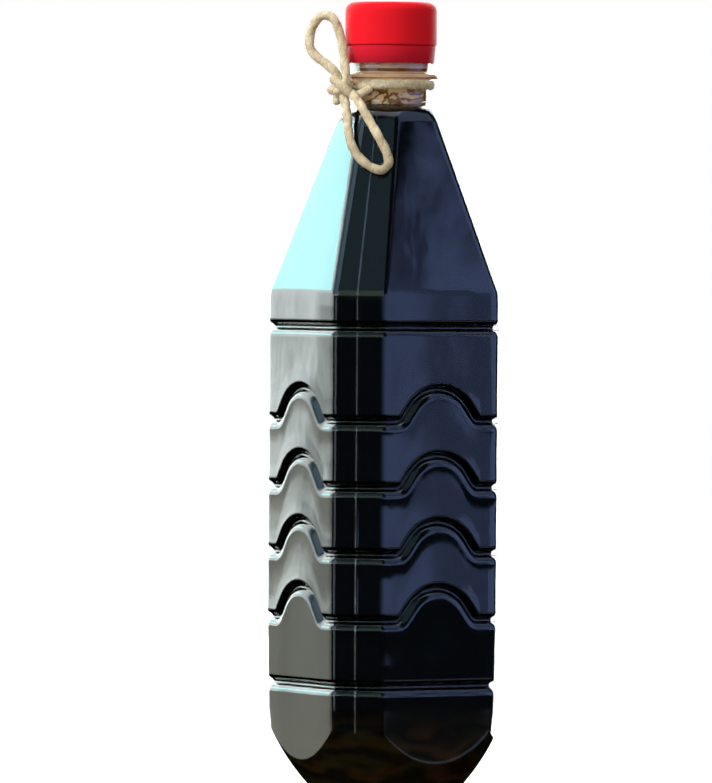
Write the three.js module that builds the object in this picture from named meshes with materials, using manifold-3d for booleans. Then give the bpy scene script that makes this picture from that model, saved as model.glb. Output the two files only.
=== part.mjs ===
// A square plastic bottle of pomegranate molasses with a red screw cap and a twine bow round its neck.
// Millimetres, +Z up. The origin is the middle of the foot, on the surface that the bottle stands on.
import * as THREE from "three";
import { mergeVertices } from "three/addons/utils/BufferGeometryUtils.js";
import Module from "manifold-3d";

const wasm = await Module();
wasm.setup();

// Body: a square section with chamfered corners
const halfWidth = 33.7;
const halfFace = 21.6;
const wall = 0.9;
const clearance = 0.35;

// Heights from the foot up
const shoulderZ = 167.8;
const neckBaseZ = 228.6;
const liquidZ = 229;
const ringZ = 238.2;
const bandZ = 243.6;
const beadZ = 244.2;
const capZ = 249.5;
const threadZ = 251.3;
const lipZ = 262;
const capTopZ = 263.8;

// Top of the shoulder, where the section is nearly round
const topHalfWidth = 15.3;
const topHalfFace = 6.9;
const liquidTopR = 13;

// Grooves, pressed into the wall right round the body: heights of their deepest lines, and how far
// they reach above and below them
const straightGrooves = [156.4, 38.6];
const waveGrooves = [125.6, 103.8, 82, 60.2];
const grooveDepth = 1.7;
const grooveFloor = 0.5;
const grooveAbove = 2.4;
const grooveBelow = 3.2;
const archHeight = 10.5;
const archRadius = 13.1;
const filletRadius = 3;
const archSlope = THREE.MathUtils.degToRad(54);
const archSteps = 5;
const filletSteps = 2;

// Base: a dome of revolution that cuts the square body off
const domeCentreR = -27.3;
const domeCentreZ = 53.4;
const domeRadius = 72.2;
const domeSteps = 4;
const footOuterR = 21.6;
const footInnerR = 19;
const footRise = 0.7;
const pushUp = 6;
const pushUpBends = [
  [9.5, 4.8],
  [17.1, 1.4],
];
const floorThickness = 1.2;

// Neck finish
const neckR = 12.7;
const boreR = 10.9;
const neckRoot = 1.5;
const ringR = 16.5;
const ringThickness = 2.4;
const ringBevel = 0.5;
const ringFillet = 0.4;
const gapNeckR = 13.3;
const beadR = 13.6;
const beadHeight = 1.8;
const beadBevel = 0.8;
const beadCone = 1.8;
const lipBevel = 0.6;
const threadRootR = 12.4;
const threadR = 12.6;
const threadHeight = 0.9;
const threadPitch = 3.2;
const threadTurns = 1.8;
const threadStepsPerTurn = 18;
const roundSides = 36;

// Cap and its tamper band
const capR = 15.2;
const capInnerR = 13.85;
const capCornerR = 3;
const capCornerSteps = 3;
const capSides = 48;
const capBevel = 0.3;
const bandTopR = 14.8;
const bandR = 14.5;
const bandInnerR = 13.98;
const bandBevel = 0.2;
const bandGap = 0.35;

// Twine
const twineR = 1.5;
const twineSides = 8;
const wrapR = 14.5;
const wrapZ = 236.5;
const wrapDrop = 3.2;
const wrapDropSpan = 0.3;
const bowTurn = THREE.MathUtils.degToRad(-30);
const knotAt = [-15.3, -8, 235];
const knotSize = [2.9, 2.7, 2.9];
const knotAngle = Math.atan2(knotAt[1], knotAt[0]);
const knotSides = [14, 9];
const wrapGap = THREE.MathUtils.degToRad(16);
const wrapSteps = 32;
const upperSteps = 30;
const lowerSteps = 26;
const endSteps = 4;

const colours = {
  clear: { color: "#dfe6e4", roughness: 0.08, metalness: 0, transparent: true, opacity: 0.35 },
  syrup: { color: "#1a0906", roughness: 0.1, metalness: 0 },
  red: { color: "#d3121b", roughness: 0.35, metalness: 0 },
  jute: { color: "#cdb48a", roughness: 0.95, metalness: 0 },
};

// One solid from a closed three.js geometry
function solid(geometry) {
  const bare = geometry.index ? geometry.toNonIndexed() : geometry.clone();
  bare.deleteAttribute("normal");
  bare.deleteAttribute("uv");
  const merged = mergeVertices(bare, 1e-4);
  return new wasm.Manifold(
    new wasm.Mesh({
      numProp: 3,
      vertProperties: merged.attributes.position.array,
      triVerts: new Uint32Array(merged.index.array),
    }),
  );
}

// A three.js geometry from a solid
function geometryOf(shape) {
  const { vertProperties, triVerts } = shape.getMesh();
  return new THREE.BufferGeometry()
    .setAttribute("position", new THREE.BufferAttribute(new Float32Array(vertProperties), 3))
    .setIndex(new THREE.BufferAttribute(new Uint32Array(triVerts), 1));
}

// A closed skin over rings of points from bottom to top, with a point on the axis at each end
function skin(rings, bottomZ, topZ) {
  const columns = rings[0].length;
  const positions = [0, 0, bottomZ, ...rings.flat(2), 0, 0, topZ];
  const last = rings.length * columns + 1;
  const at = (row, column) => 1 + row * columns + (column % columns);
  const faces = [];
  for (let column = 0; column < columns; column++) {
    faces.push(0, at(0, column + 1), at(0, column));
    for (let row = 0; row + 1 < rings.length; row++) {
      const [a, b] = [at(row, column), at(row, column + 1)];
      const [c, d] = [at(row + 1, column + 1), at(row + 1, column)];
      faces.push(a, b, c, a, c, d);
    }
    faces.push(last, at(rings.length - 1, column), at(rings.length - 1, column + 1));
  }
  return new THREE.BufferGeometry()
    .setAttribute("position", new THREE.Float32BufferAttribute(positions, 3))
    .setIndex(faces);
}

// The middle line of a wave groove across one face: flat, up over a round arch, and flat again.
// Each point has its place and the direction across the groove.
function archLine() {
  const points = [];
  const straight =
    (archHeight - (archRadius + filletRadius) * (1 - Math.cos(archSlope))) / Math.sin(archSlope);
  const footU =
    (archRadius + filletRadius) * Math.sin(archSlope) + straight * Math.cos(archSlope);
  for (let i = 0; i < filletSteps; i++) {
    const turn = (archSlope * i) / (filletSteps - 1);
    points.push({
      u: -footU + filletRadius * Math.sin(turn),
      z: filletRadius * (1 - Math.cos(turn)),
      turn,
    });
  }
  for (let i = 0; i <= archSteps; i++) {
    const turn = archSlope * (1 - (2 * i) / archSteps);
    points.push({
      u: -archRadius * Math.sin(turn),
      z: archHeight - archRadius * (1 - Math.cos(turn)),
      turn,
    });
  }
  for (let i = filletSteps - 1; i >= 0; i--) {
    const { u, z, turn } = points[i];
    points.push({ u: -u, z, turn: -turn });
  }
  return points;
}
const arch = archLine();

// Half width and half face of the section at a height on the shoulder
function shoulderSection(z) {
  const share = (z - shoulderZ) / (neckBaseZ - shoulderZ);
  return [
    THREE.MathUtils.lerp(halfWidth, topHalfWidth, share),
    THREE.MathUtils.lerp(halfFace, topHalfFace, share),
  ];
}

// One ring of the section, from points [u, z] along a face that is half-width a from the axis,
// repeated on all four sides. Moving the wall in by a distance narrows the face by the corner share.
const cornerShare = Math.SQRT2 - 1;
function ringOf(a, f, inset, facePoints) {
  const edge = f - inset * cornerShare;
  const flat = [[-edge, facePoints[0][1]], ...facePoints, [edge, facePoints.at(-1)[1]]];
  const ring = [];
  for (let side = 0; side < 4; side++) {
    const [sin, cos] = [Math.sin((side * Math.PI) / 2), Math.cos((side * Math.PI) / 2)];
    for (const [u, z] of flat) {
      const y = -(a - inset);
      ring.push([u * cos - y * sin, u * sin + y * cos, z]);
    }
  }
  return ring;
}

// A level ring, with the arch's columns spread over the face
function levelRing(a, f, inset, z) {
  return ringOf(a, f, inset, arch.map(({ u }) => [(u * f) / halfFace, z]));
}

// A ring along a wave groove, moved across the groove and into the wall
function waveRing(middle, across, inset) {
  return ringOf(
    halfWidth,
    halfFace,
    inset,
    arch.map(({ u, z, turn }) => [
      u - across * Math.sin(turn),
      middle + z + across * Math.cos(turn),
    ]),
  );
}

// Sections of a groove from its lower lip to its upper one: flat-bottomed outside, a plain V inside
const outerGroove = [
  [-grooveBelow, 0],
  [-grooveFloor, grooveDepth],
  [grooveFloor, grooveDepth],
  [grooveAbove, 0],
];
const innerGroove = [
  [-grooveBelow, 0],
  [0, grooveDepth],
  [grooveAbove, 0],
];

// The rings of a groove, at a distance inside the outer wall
function grooveRings(deepest, wave, inset) {
  const section = inset > 0 ? innerGroove : outerGroove;
  return section.map(([across, depth]) =>
    wave
      ? waveRing(deepest, across, inset + depth)
      : levelRing(halfWidth, halfFace, inset + depth, deepest + across),
  );
}

const domeR = (z) => domeCentreR + Math.sqrt(domeRadius ** 2 - (domeCentreZ - z) ** 2);
const domeZ = (r) => domeCentreZ - Math.sqrt(domeRadius ** 2 - (r - domeCentreR) ** 2);

// Rings of the base, from the foot up to the curve where the dome meets the flat sides
function domeRings(inset, bottomZ) {
  const top = levelRing(halfWidth, halfFace, inset, 0);
  const rings = [];
  for (let step = 0; step <= domeSteps; step++) {
    rings.push(
      top.map(([x, y]) => {
        const r = Math.hypot(x, y);
        const z = THREE.MathUtils.lerp(bottomZ, domeZ(r + inset), step / domeSteps);
        const share = (domeR(z) - inset) / r;
        return step === domeSteps ? [x, y, z] : [x * share, y * share, z];
      }),
    );
  }
  return rings;
}

// A round ring in the same directions as the section's columns
function roundRing(r, z) {
  return levelRing(topHalfWidth, topHalfFace, 0, z).map(([x, y]) => {
    const share = r / Math.hypot(x, y);
    return [x * share, y * share, z];
  });
}

// Everything from the dome up to the top of the shoulder, at a distance inside the outer wall
function bodyRings(inset, bottomZ) {
  const grooves = [
    ...straightGrooves.map((z) => ({ z, wave: false })),
    ...waveGrooves.map((z) => ({ z, wave: true })),
  ].sort((one, other) => one.z - other.z);
  return [
    ...domeRings(inset, bottomZ),
    ...grooves.flatMap(({ z, wave }) => grooveRings(z, wave, inset)),
    levelRing(halfWidth, halfFace, inset, shoulderZ),
    levelRing(...shoulderSection(neckBaseZ), inset, neckBaseZ),
  ];
}

// The pushed-up middle of the base, lifted by what lies under it
const pushUpRings = (lift) => pushUpBends.map(([r, z]) => roundRing(r, z + lift));

// Outside of the body, on its foot ring
function bodySolid() {
  const foot = [...pushUpRings(0), roundRing(footInnerR, 0), roundRing(footOuterR, 0)];
  const insideNeck = roundRing(neckR - neckRoot, neckBaseZ + neckRoot);
  return solid(skin([...foot, ...bodyRings(0, footRise), insideNeck], pushUp, neckBaseZ + neckRoot));
}

// Space inside the bottle, up through the neck and out of its mouth
function cavitySolid() {
  const rings = [
    ...pushUpRings(floorThickness),
    ...bodyRings(wall, footRise + floorThickness),
    roundRing(boreR, neckBaseZ + neckRoot),
    roundRing(boreR, lipZ + 1),
  ];
  return solid(skin(rings, pushUp + floorThickness, lipZ + 1));
}

// A solid turned round the axis from [radius, height] points
function turned(profile, sides) {
  const points = profile.map(([r, z]) => new THREE.Vector2(r, z));
  const lathe = new THREE.LatheGeometry(points, sides).rotateX(Math.PI / 2);
  return solid(lathe);
}

// Neck finish: support ring, tamper bead, plain wall for the thread, and lip
function neckSolid() {
  return turned(
    [
      [0, neckBaseZ - neckRoot],
      [neckR, neckBaseZ - neckRoot],
      [neckR, ringZ],
      [ringR - ringBevel, ringZ],
      [ringR, ringZ + ringBevel],
      [ringR, ringZ + ringThickness - ringBevel],
      [ringR - ringBevel, ringZ + ringThickness],
      [gapNeckR, ringZ + ringThickness + ringFillet],
      [gapNeckR, beadZ],
      [beadR, beadZ + beadBevel],
      [beadR, beadZ + beadHeight],
      [threadRootR, beadZ + beadHeight + beadCone],
      [threadRootR, lipZ - lipBevel],
      [threadRootR - lipBevel, lipZ],
      [0, lipZ],
    ],
    roundSides,
  );
}

// One thread start, round the neck under the cap
function threadSolid() {
  class Helix extends THREE.Curve {
    getPoint(t, target = new THREE.Vector3()) {
      const turns = t * threadTurns;
      const angle = turns * 2 * Math.PI;
      return target.set(
        threadR * Math.cos(angle),
        threadR * Math.sin(angle),
        threadZ + turns * threadPitch,
      );
    }
  }
  const section = new THREE.Shape([
    new THREE.Vector2(-threadHeight, 0),
    new THREE.Vector2(0, -threadHeight),
    new THREE.Vector2(threadHeight, 0),
    new THREE.Vector2(0, threadHeight),
  ]);
  const steps = Math.round(threadTurns * threadStepsPerTurn);
  return solid(
    new THREE.ExtrudeGeometry(section, { steps, extrudePath: new Helix(), bevelEnabled: false }),
  );
}

function bottleGeometry() {
  const outside = bodySolid().add(neckSolid()).add(threadSolid());
  return geometryOf(outside.subtract(cavitySolid()));
}

// Syrup up to the foot of the neck, just clear of the wall
function molassesGeometry() {
  const lift = floorThickness + clearance;
  const rings = [
    ...pushUpRings(lift),
    ...bodyRings(wall + clearance, footRise + lift),
    roundRing(liquidTopR, liquidZ),
  ];
  return skin(rings, pushUp + lift, liquidZ);
}

// Cap: a cup with a rounded top edge, over the neck and clear of the thread
function capGeometry() {
  const corner = [];
  for (let i = 0; i <= capCornerSteps; i++) {
    const angle = (i / capCornerSteps) * (Math.PI / 2);
    corner.push([
      capR - capCornerR * (1 - Math.cos(angle)),
      capTopZ - capCornerR * (1 - Math.sin(angle)),
    ]);
  }
  return geometryOf(
    turned(
      [
        [0, lipZ + clearance],
        [capInnerR, lipZ + clearance],
        [capInnerR, capZ],
        [capR - capBevel, capZ],
        [capR, capZ + capBevel],
        ...corner,
        [0, capTopZ],
      ],
      capSides,
    ),
  );
}

// Tamper band under the cap, a little narrower than it and narrower still at its foot
function bandGeometry() {
  return geometryOf(
    turned(
      [
        [bandInnerR, bandZ],
        [bandR - bandBevel, bandZ],
        [bandR, bandZ + bandBevel],
        [bandTopR, capZ - bandGap],
        [bandInnerR, capZ - bandGap],
        [bandInnerR, bandZ],
      ],
      capSides,
    ),
  );
}

// A length of twine along a smooth curve
function twineGeometry(curve, steps) {
  const section = new THREE.Shape();
  for (let i = 0; i < twineSides; i++) {
    const angle = (i / twineSides) * 2 * Math.PI;
    const [x, y] = [twineR * Math.cos(angle), twineR * Math.sin(angle)];
    if (i === 0) section.moveTo(x, y);
    else section.lineTo(x, y);
  }
  section.closePath();
  return new THREE.ExtrudeGeometry(section, { steps, extrudePath: curve, bevelEnabled: false });
}

const through = (points) =>
  new THREE.CatmullRomCurve3(points.map((p) => new THREE.Vector3(...p)), false, "centripetal");

// The turn of twine round the neck, a little lower beside the knot
class Wrap extends THREE.Curve {
  getPoint(t, target = new THREE.Vector3()) {
    const sweep = THREE.MathUtils.lerp(wrapGap, 2 * Math.PI - wrapGap, t);
    const nearKnot = Math.exp(-((Math.min(sweep, 2 * Math.PI - sweep) / wrapDropSpan) ** 2));
    const angle = knotAngle + sweep;
    return target.set(
      wrapR * Math.cos(angle),
      wrapR * Math.sin(angle),
      wrapZ - wrapDrop * nearKnot,
    );
  }
}

// Loop that stands up beside the cap
const upperLoop = [
  [-17.3, -9.1, 238.4],
  [-18.4, -8.8, 240.4],
  [-20.2, -8.0, 242.2],
  [-22.1, -7.1, 243.7],
  [-24.1, -6.2, 245.2],
  [-25.9, -5.4, 247.0],
  [-26.8, -4.9, 249.0],
  [-26.9, -4.5, 251.4],
  [-26.4, -4.2, 254.0],
  [-25.4, -4.2, 256.5],
  [-23.9, -4.4, 258.5],
  [-21.9, -4.8, 259.3],
  [-19.9, -5.2, 258.8],
  [-18.4, -5.8, 257.2],
  [-17.4, -6.4, 254.7],
  [-16.4, -7.3, 251.4],
  [-15.8, -8.3, 248.0],
  [-15.4, -9.3, 244.7],
  [-15.0, -10.2, 241.6],
  [-14.6, -10.8, 239.4],
  [-14.4, -10.9, 237.9],
];

// Loop that hangs down over the shoulder
const lowerLoop = [
  [-15.4, -9.6, 231.7],
  [-14.8, -10.5, 229.6],
  [-14.4, -11.8, 227.0],
  [-14.0, -13.8, 223.4],
  [-13.6, -16.3, 219.6],
  [-12.7, -19.5, 216.2],
  [-11.1, -21.3, 213.3],
  [-8.5, -23.1, 210.5],
  [-5.4, -24.6, 208.6],
  [-2.6, -25.6, 208.1],
  [-0.7, -25.3, 210.0],
  [-1.1, -23.9, 213.4],
  [-2.9, -22.0, 217.2],
  [-5.0, -19.9, 221.0],
  [-7.2, -17.7, 224.8],
  [-9.3, -15.8, 228.4],
  [-10.9, -13.8, 231.0],
  [-12.2, -11.9, 232.6],
];

// Two short cut ends beside the knot
const sideEnd = [
  [-18.5, -6.9, 234.1],
  [-19.3, -6.5, 234.4],
  [-20.0, -6.1, 234.7],
  [-20.7, -5.7, 235.1],
];
const lowEnd = [
  [-17.4, -6.2, 232.4],
  [-17.6, -5.9, 231.6],
  [-17.8, -5.7, 230.8],
  [-17.9, -5.5, 229.9],
];

function knotGeometry() {
  const knot = new THREE.SphereGeometry(1, ...knotSides);
  return knot.rotateX(Math.PI / 2).scale(...knotSize);
}

function named(name, geometry, finish) {
  const mesh = new THREE.Mesh(geometry, new THREE.MeshStandardMaterial(finish));
  mesh.name = name;
  return mesh;
}

const bottle = new THREE.Group();
bottle.add(
  named("bottle", bottleGeometry(), colours.clear),
  named("molasses", molassesGeometry(), colours.syrup),
  named("cap", capGeometry(), colours.red),
  named("tamper_band", bandGeometry(), colours.red),
);

// The bow faces the left one of the two sides that meet at the front corner
const bow = new THREE.Group();
bow.rotation.z = bowTurn;
const knot = named("twine_knot", knotGeometry(), colours.jute);
knot.position.set(...knotAt);
bow.add(
  knot,
  named("twine_wrap", twineGeometry(new Wrap(), wrapSteps), colours.jute),
  named("twine_loop_up", twineGeometry(through(upperLoop), upperSteps), colours.jute),
  named("twine_loop_down", twineGeometry(through(lowerLoop), lowerSteps), colours.jute),
  named("twine_end_side", twineGeometry(through(sideEnd), endSteps), colours.jute),
  named("twine_end_low", twineGeometry(through(lowEnd), endSteps), colours.jute),
);
bottle.add(bow);

export default bottle;
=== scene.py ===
import math
import bpy
import numpy as np
from mathutils import Matrix, Vector


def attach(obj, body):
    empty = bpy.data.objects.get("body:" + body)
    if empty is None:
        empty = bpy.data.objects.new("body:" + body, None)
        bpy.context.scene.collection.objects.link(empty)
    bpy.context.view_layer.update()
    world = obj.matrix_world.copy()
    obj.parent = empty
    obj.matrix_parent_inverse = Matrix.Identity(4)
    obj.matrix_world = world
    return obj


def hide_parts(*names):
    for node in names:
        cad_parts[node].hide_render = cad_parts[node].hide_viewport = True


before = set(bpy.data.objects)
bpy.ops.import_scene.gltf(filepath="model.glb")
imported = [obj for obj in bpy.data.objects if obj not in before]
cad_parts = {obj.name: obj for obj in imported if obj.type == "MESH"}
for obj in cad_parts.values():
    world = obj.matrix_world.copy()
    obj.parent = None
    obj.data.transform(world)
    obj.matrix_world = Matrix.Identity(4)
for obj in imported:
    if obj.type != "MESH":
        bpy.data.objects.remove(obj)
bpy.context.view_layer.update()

# Camera. It stands nearly three metres away with a long lens, a little above the middle of the bottle, and
# looks at the corner between the two sides that the picture shows. The picture leans by under half a degree.
MM = 0.001
PICTURE = (712, 783)
PIXELS_PER_MM = 3.016
CAMERA_DISTANCE = 2752
CAMERA_TURN = math.radians(-30)
CAMERA_LEAN = math.radians(0.41)
EYE_HEIGHT = 178.7
AXIS_COLUMN = 388.4
FOOT_ROW = 798.1
TO_CAMERA = Vector((math.sin(CAMERA_TURN), -math.cos(CAMERA_TURN), 0))
TO_RIGHT = Vector((math.cos(CAMERA_TURN), math.sin(CAMERA_TURN), 0))

aside = TO_RIGHT * (PICTURE[0] / 2 - AXIS_COLUMN) / PIXELS_PER_MM
target = aside + Vector((0, 0, (FOOT_ROW - PICTURE[1] / 2) / PIXELS_PER_MM))
eye = aside + TO_CAMERA * CAMERA_DISTANCE + Vector((0, 0, EYE_HEIGHT))
lens = bpy.data.cameras.new("camera")
lens.lens = lens.sensor_width * CAMERA_DISTANCE * PIXELS_PER_MM / PICTURE[1]
lens.clip_start = 0.1
lens.clip_end = 50
camera = bpy.data.objects.new("camera", lens)
bpy.context.scene.collection.objects.link(camera)
look = (target - eye).to_track_quat("-Z", "Y").to_matrix().to_4x4()
camera.matrix_world = Matrix.Translation(eye * MM) @ look @ Matrix.Rotation(CAMERA_LEAN, 4, "Z")
bpy.context.scene.camera = camera


# Twine. Two plies of jute fibre, laid round each other, tied round the neck under its support ring in a bow:
# one loop stands up beside the cap and one hangs over the shoulder, with two short cut ends at the knot.
# The plies are modelled, with loose fibres that stand off them.
TWINE_WIDTH = 3.0
TWINE_LAY = 12.0
TWINE_STEP = 0.33
TWINE_SIDES = 36
WIDTH_WANDER = 0.02
WANDER_STEP = 8
PLY_HOLLOW = 0.15
PLY_ROUNDNESS = 1.6
STRAND_COUNT = 9
STRAND_LAY = 1.35
STRAND_SWAY = 1.7
STRAND_RELIEF = 0.045
END_ROWS = 4
END_CROWN = 0.05
SPLINE_STEPS = 24
FIBRE_WIDTH = 0.09
FIBRE_ROOT = 0.38
FIBRE_ARCH = 0.18
FIBRES_PER_MM = 1.6
FRAYED_FIBRES_PER_MM = 14
KNOT_FIBRES_PER_MM = 5
JUTE_LIGHT = (0.84, 0.755, 0.53)
JUTE_SHADE = (0.48, 0.36, 0.22)
JUTE_SHEEN = (0.9, 0.8, 0.6)
# Painted shade for the foot of the low loop, which hangs low and is lit less.
JUTE_PAINTED_SHADE = (0.22, 0.17, 0.11)
PAINTED_SHADE_SHARE = 0.45
PAINTED_SHADE_UP_TO = (0.214, 0.2245)
NECK_INSIDE = 12.6
UPPER_LOOP = [
    (-16.4, -8.8, 236.4), (-17.3, -9.1, 238.4), (-18.4, -8.8, 240.4), (-20.2, -8.0, 242.2),
    (-22.1, -7.1, 243.7), (-24.1, -6.2, 245.2), (-25.9, -5.4, 247.0), (-26.8, -4.9, 249.0),
    (-26.9, -4.5, 251.4), (-26.4, -4.2, 254.0), (-25.4, -4.2, 256.5), (-23.9, -4.4, 258.5),
    (-21.9, -4.8, 259.3), (-19.9, -5.2, 258.8), (-18.4, -5.8, 257.2), (-17.4, -6.4, 254.7),
    (-16.4, -7.3, 251.4), (-15.8, -8.3, 248.0), (-15.4, -9.3, 244.7), (-15.0, -10.2, 241.6),
    (-14.6, -10.8, 239.4), (-14.4, -10.9, 237.9), (-14.6, -10.2, 236.0),
]
LOWER_LOOP = [
    (-15.8, -8.9, 233.6), (-15.4, -9.6, 231.7), (-14.8, -10.5, 229.6), (-14.4, -11.8, 227.0),
    (-14.0, -13.8, 223.4), (-13.6, -16.3, 219.6), (-12.7, -19.5, 216.2), (-11.1, -21.3, 213.3),
    (-8.5, -23.1, 210.5), (-5.4, -24.6, 208.6), (-2.6, -25.6, 208.1), (-0.7, -25.3, 210.0),
    (-1.1, -23.9, 213.4), (-2.9, -22.0, 217.2), (-5.0, -19.9, 221.0), (-7.2, -17.7, 224.8),
    (-9.3, -15.8, 228.4), (-10.9, -13.8, 231.0), (-12.2, -11.9, 232.6), (-13.4, -10.3, 234.0),
]
SIDE_END = [(-17.6, -7.3, 234.0), (-18.5, -6.9, 234.2), (-19.6, -6.3, 234.7), (-20.6, -5.8, 235.2)]
LOW_END = [(-17.0, -6.6, 233.4), (-17.4, -6.2, 232.2), (-17.8, -5.8, 230.9), (-17.9, -5.5, 229.8)]


class Wire:
    """An output socket of a node, which takes part in sums: each sum adds its Math node."""

    def __init__(self, finish, socket):
        self.finish = finish
        self.socket = socket

    def math(self, operation, second=0.0):
        """This value, or this one and a second, through a Math node."""
        return self.finish.node("ShaderNodeMath", {"operation": operation}, {0: self, 1: second})

    def __add__(self, other):
        return self.math("ADD", other)

    def __sub__(self, other):
        return self.math("SUBTRACT", other)

    def __rsub__(self, other):
        return self.finish.node("ShaderNodeMath", {"operation": "SUBTRACT"}, {0: other, 1: self})

    def __mul__(self, other):
        return self.math("MULTIPLY", other)

    __radd__ = __add__
    __rmul__ = __mul__

    def most(self, other):
        """The larger of two values."""
        return self.math("MAXIMUM", other)

    def step(self, low, high):
        """Rises smoothly from 0 at low to 1 at high."""
        settings = {"interpolation_type": "SMOOTHSTEP"}
        sockets = {"Value": self, "From Min": low, "From Max": high}
        return self.finish.node("ShaderNodeMapRange", settings, sockets)


class Finish:
    """The nodes of a material, or of the room round the object."""

    def __init__(self, owner):
        owner.use_nodes = True
        self.owner = owner
        self.tree = owner.node_tree
        self.tree.nodes.clear()

    def node(self, kind, settings=None, sockets=None, output=0):
        """Adds a node: its settings, then a value or a link for each socket. Gives one of its outputs."""
        made = self.tree.nodes.new(kind)
        for name, value in (settings or {}).items():
            setattr(made, name, value)
        for name, value in (sockets or {}).items():
            socket = made.inputs[name]
            if isinstance(value, Wire):
                self.tree.links.new(value.socket, socket)
            elif socket.type == "RGBA":
                socket.default_value = (*value, 1)
            else:
                socket.default_value = value
        return Wire(self, made.outputs[output]) if len(made.outputs) else None

    def blend(self, share, first, second):
        """From the first colour to the second by a share."""
        return self.node("ShaderNodeMix", {"data_type": "RGBA"}, {0: share, 6: first, 7: second}, output=2)

    def noise(self, where, scale, detail):
        """Soft noise from 0 to 1, with so many patches to a metre."""
        return self.node("ShaderNodeTexNoise", {}, {"Vector": where, "Scale": scale, "Detail": detail})

    def place(self, stretch=(1, 1, 1)):
        """Where a point is on the object, in metres, stretched along the axes."""
        where = self.node("ShaderNodeTexCoord", output="Object")
        return self.node("ShaderNodeVectorMath", {"operation": "MULTIPLY"}, {0: where, 1: stretch})

    def height(self):
        """How high a point is on the object, in metres."""
        where = self.node("ShaderNodeTexCoord", output="Object")
        return self.node("ShaderNodeSeparateXYZ", {}, {0: where}, output="Z")

    def bump(self, height, distance, strength):
        """A relief from a height between 0 and 1, a distance deep in metres."""
        return self.node("ShaderNodeBump", {}, {"Height": height, "Distance": distance, "Strength": strength})

    def surface(self, sockets):
        """Ends the material with a plain shader that has these sockets."""
        shader = self.node("ShaderNodeBsdfPrincipled", {}, sockets)
        self.node("ShaderNodeOutputMaterial", {}, {"Surface": shader})
        return self.owner


def add_piece(name, points, faces, material):
    """A smooth mesh object from points in millimetres, which rides on the bottle's one body."""
    mesh = bpy.data.meshes.new(name)
    mesh.from_pydata((np.asarray(points, float) * MM).tolist(), [], faces)
    mesh.update()
    mesh.polygons.foreach_set("use_smooth", [True] * len(mesh.polygons))
    mesh.materials.append(material)
    piece = bpy.data.objects.new(name, mesh)
    bpy.context.scene.collection.objects.link(piece)
    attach(piece, "root")
    return piece


def tube_faces(rows, columns, first=0):
    """Quads between rings that follow each other, all the way round."""
    faces = []
    for row in range(rows - 1):
        low = first + row * columns
        for column in range(columns):
            after = (column + 1) % columns
            faces.append((low + column, low + after, low + columns + after, low + columns + column))
    return faces


def skin_faces(rows, columns):
    """Faces of a closed skin over rings, between a first point and a last one that close its ends."""
    faces = tube_faces(rows, columns, 1)
    last = rows * columns + 1
    for column in range(columns):
        after = (column + 1) % columns
        faces.append((0, 1 + after, 1 + column))
        faces.append((last, last - columns + column, last - columns + after))
    return faces


def smooth_path(points, step):
    """Points a step apart along a curve through the given ones, as a centripetal spline."""
    given = [np.array(p, float) for p in points]
    given = [2 * given[0] - given[1], *given, 2 * given[-1] - given[-2]]
    fine = []
    for before, start, end, after in zip(given, given[1:], given[2:], given[3:]):
        knots = [0.0]
        for one, two in ((before, start), (start, end), (end, after)):
            knots.append(knots[-1] + math.sqrt(math.dist(one, two)))
        for t in np.linspace(knots[1], knots[2], SPLINE_STEPS, endpoint=False):
            level = [before, start, end, after]
            for first, span in ((0, 1), (0, 2), (1, 1)):
                level = [
                    a + (b - a) * (t - knots[first + i]) / (knots[first + i + span] - knots[first + i])
                    for i, (a, b) in enumerate(zip(level, level[1:]))
                ]
            fine.append(level[0])
    fine.append(given[-2])
    fine = np.array(fine)
    along = np.concatenate([[0], np.cumsum(np.linalg.norm(np.diff(fine, axis=0), axis=1))])
    even = np.linspace(0, along[-1], max(2, round(along[-1] / step)) + 1)
    return np.stack([np.interp(even, along, fine[:, i]) for i in range(3)], axis=1)


def frames_along(path):
    """Two directions across the path at each point, turning as little as they can."""
    ahead = np.gradient(path, axis=0)
    ahead /= np.linalg.norm(ahead, axis=1)[:, None]
    side = np.cross(ahead[0], (0.3, 0.2, 1.0))
    sides = []
    for direction in ahead:
        side = side - direction * (side @ direction)
        side = side / np.linalg.norm(side)
        sides.append(side)
    sides = np.array(sides)
    return ahead, sides, np.cross(ahead, sides)


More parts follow.
